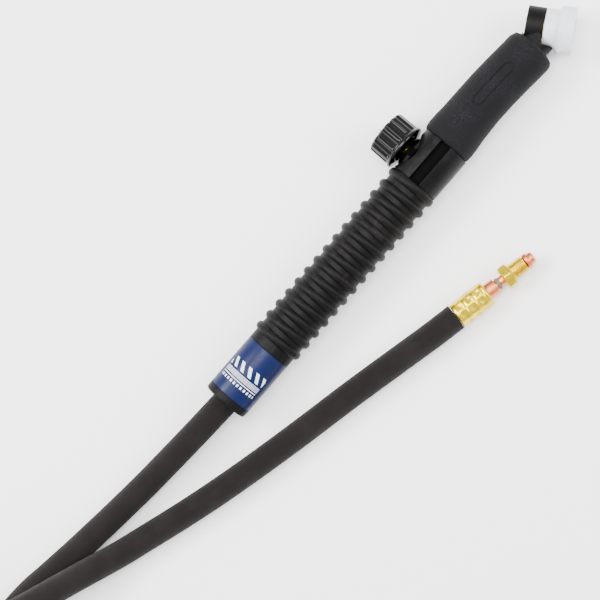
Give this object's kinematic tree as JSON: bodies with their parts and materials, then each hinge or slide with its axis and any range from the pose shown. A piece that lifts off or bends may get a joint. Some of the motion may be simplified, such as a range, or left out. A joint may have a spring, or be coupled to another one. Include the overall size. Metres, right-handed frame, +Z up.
{
  "type": "tig welding torch",
  "caption": "Air-cooled TIG welding torch with a gas valve knob, ribbed handle, angled head and a coiled power and gas cable ending in a brass fitting.",
  "frame": {"origin": "on the table under the centre of the torch's own box, without the cable and its fitting", "axes": "+X along the torch towards its head, +Y towards the valve knob, +Z up from the table the torch lies on"},
  "size_m": [0.7108, 0.2024, 0.0498],
  "materials": {
    "handle": "satin moulded nylon",
    "label": "satin printed film",
    "rubber": "matte",
    "gloss": "gloss",
    "shell": "satin",
    "brass": "machined",
    "copper": "bare copper, slightly dulled",
    "ptfe": "smooth, slightly waxy",
    "cover": "woven over a rubber hose",
    "packing": "dull",
    "strap": "woven hook and loop tape"
  },
  "bodies": {
    "torch": {"handle_grip": "handle", "label_sleeve": "label", "cable_bushing": "rubber", "cable_inside_handle": "cover", "torch_end_crimp_ferrule": "brass", "torch_end_copper_stem": "copper", "torch_end_stem_ring": "packing", "torch_end_brass_nut": "brass", "valve_body": "brass", "valve_cover": "gloss", "valve_shell": "shell", "gland_nut": "brass", "gland_packing": "packing", "neck_tube": "copper", "neck_boot": "rubber", "head_core": "brass", "head_cover": "handle", "head_insulator": "ptfe", "cable_end_crimp_ferrule": "brass", "cable_end_copper_stem": "copper", "cable_end_stem_ring": "packing", "cable_torch_strand": "cover", "cable_fitting_strand": "cover", "cable_coil": "cover", "coil_tie_1": "strap", "coil_tie_2": "strap"},
    "spindle": {"valve_spindle": "brass"},
    "knob": {"valve_knob": "gloss"},
    "power_nut": {"cable_end_brass_nut": "brass"}
  },
  "joints": [
    {"name": "valve_spindle_slide", "type": "slide", "parent": "torch", "child": "spindle", "axis": [0, 1, 0], "range_m": [0, 0.00161]},
    {"name": "valve_knob_turn", "type": "hinge", "parent": "spindle", "child": "knob", "pos_m": [0.02573, -0.00627, 0.0153], "axis": [0, 1, 0], "range_deg": [0, 720]},
    {"name": "power_nut_spin", "type": "hinge", "parent": "torch", "child": "power_nut", "pos_m": [-0.02597, -0.07187, 0.0079], "axis": [0.9823, -0.1874, 0], "continuous": true}
  ],
  "couplings": [
    {"joint": "valve_spindle_slide", "follows": "valve_knob_turn", "m_per_rad": 0.00012732}
  ]
}
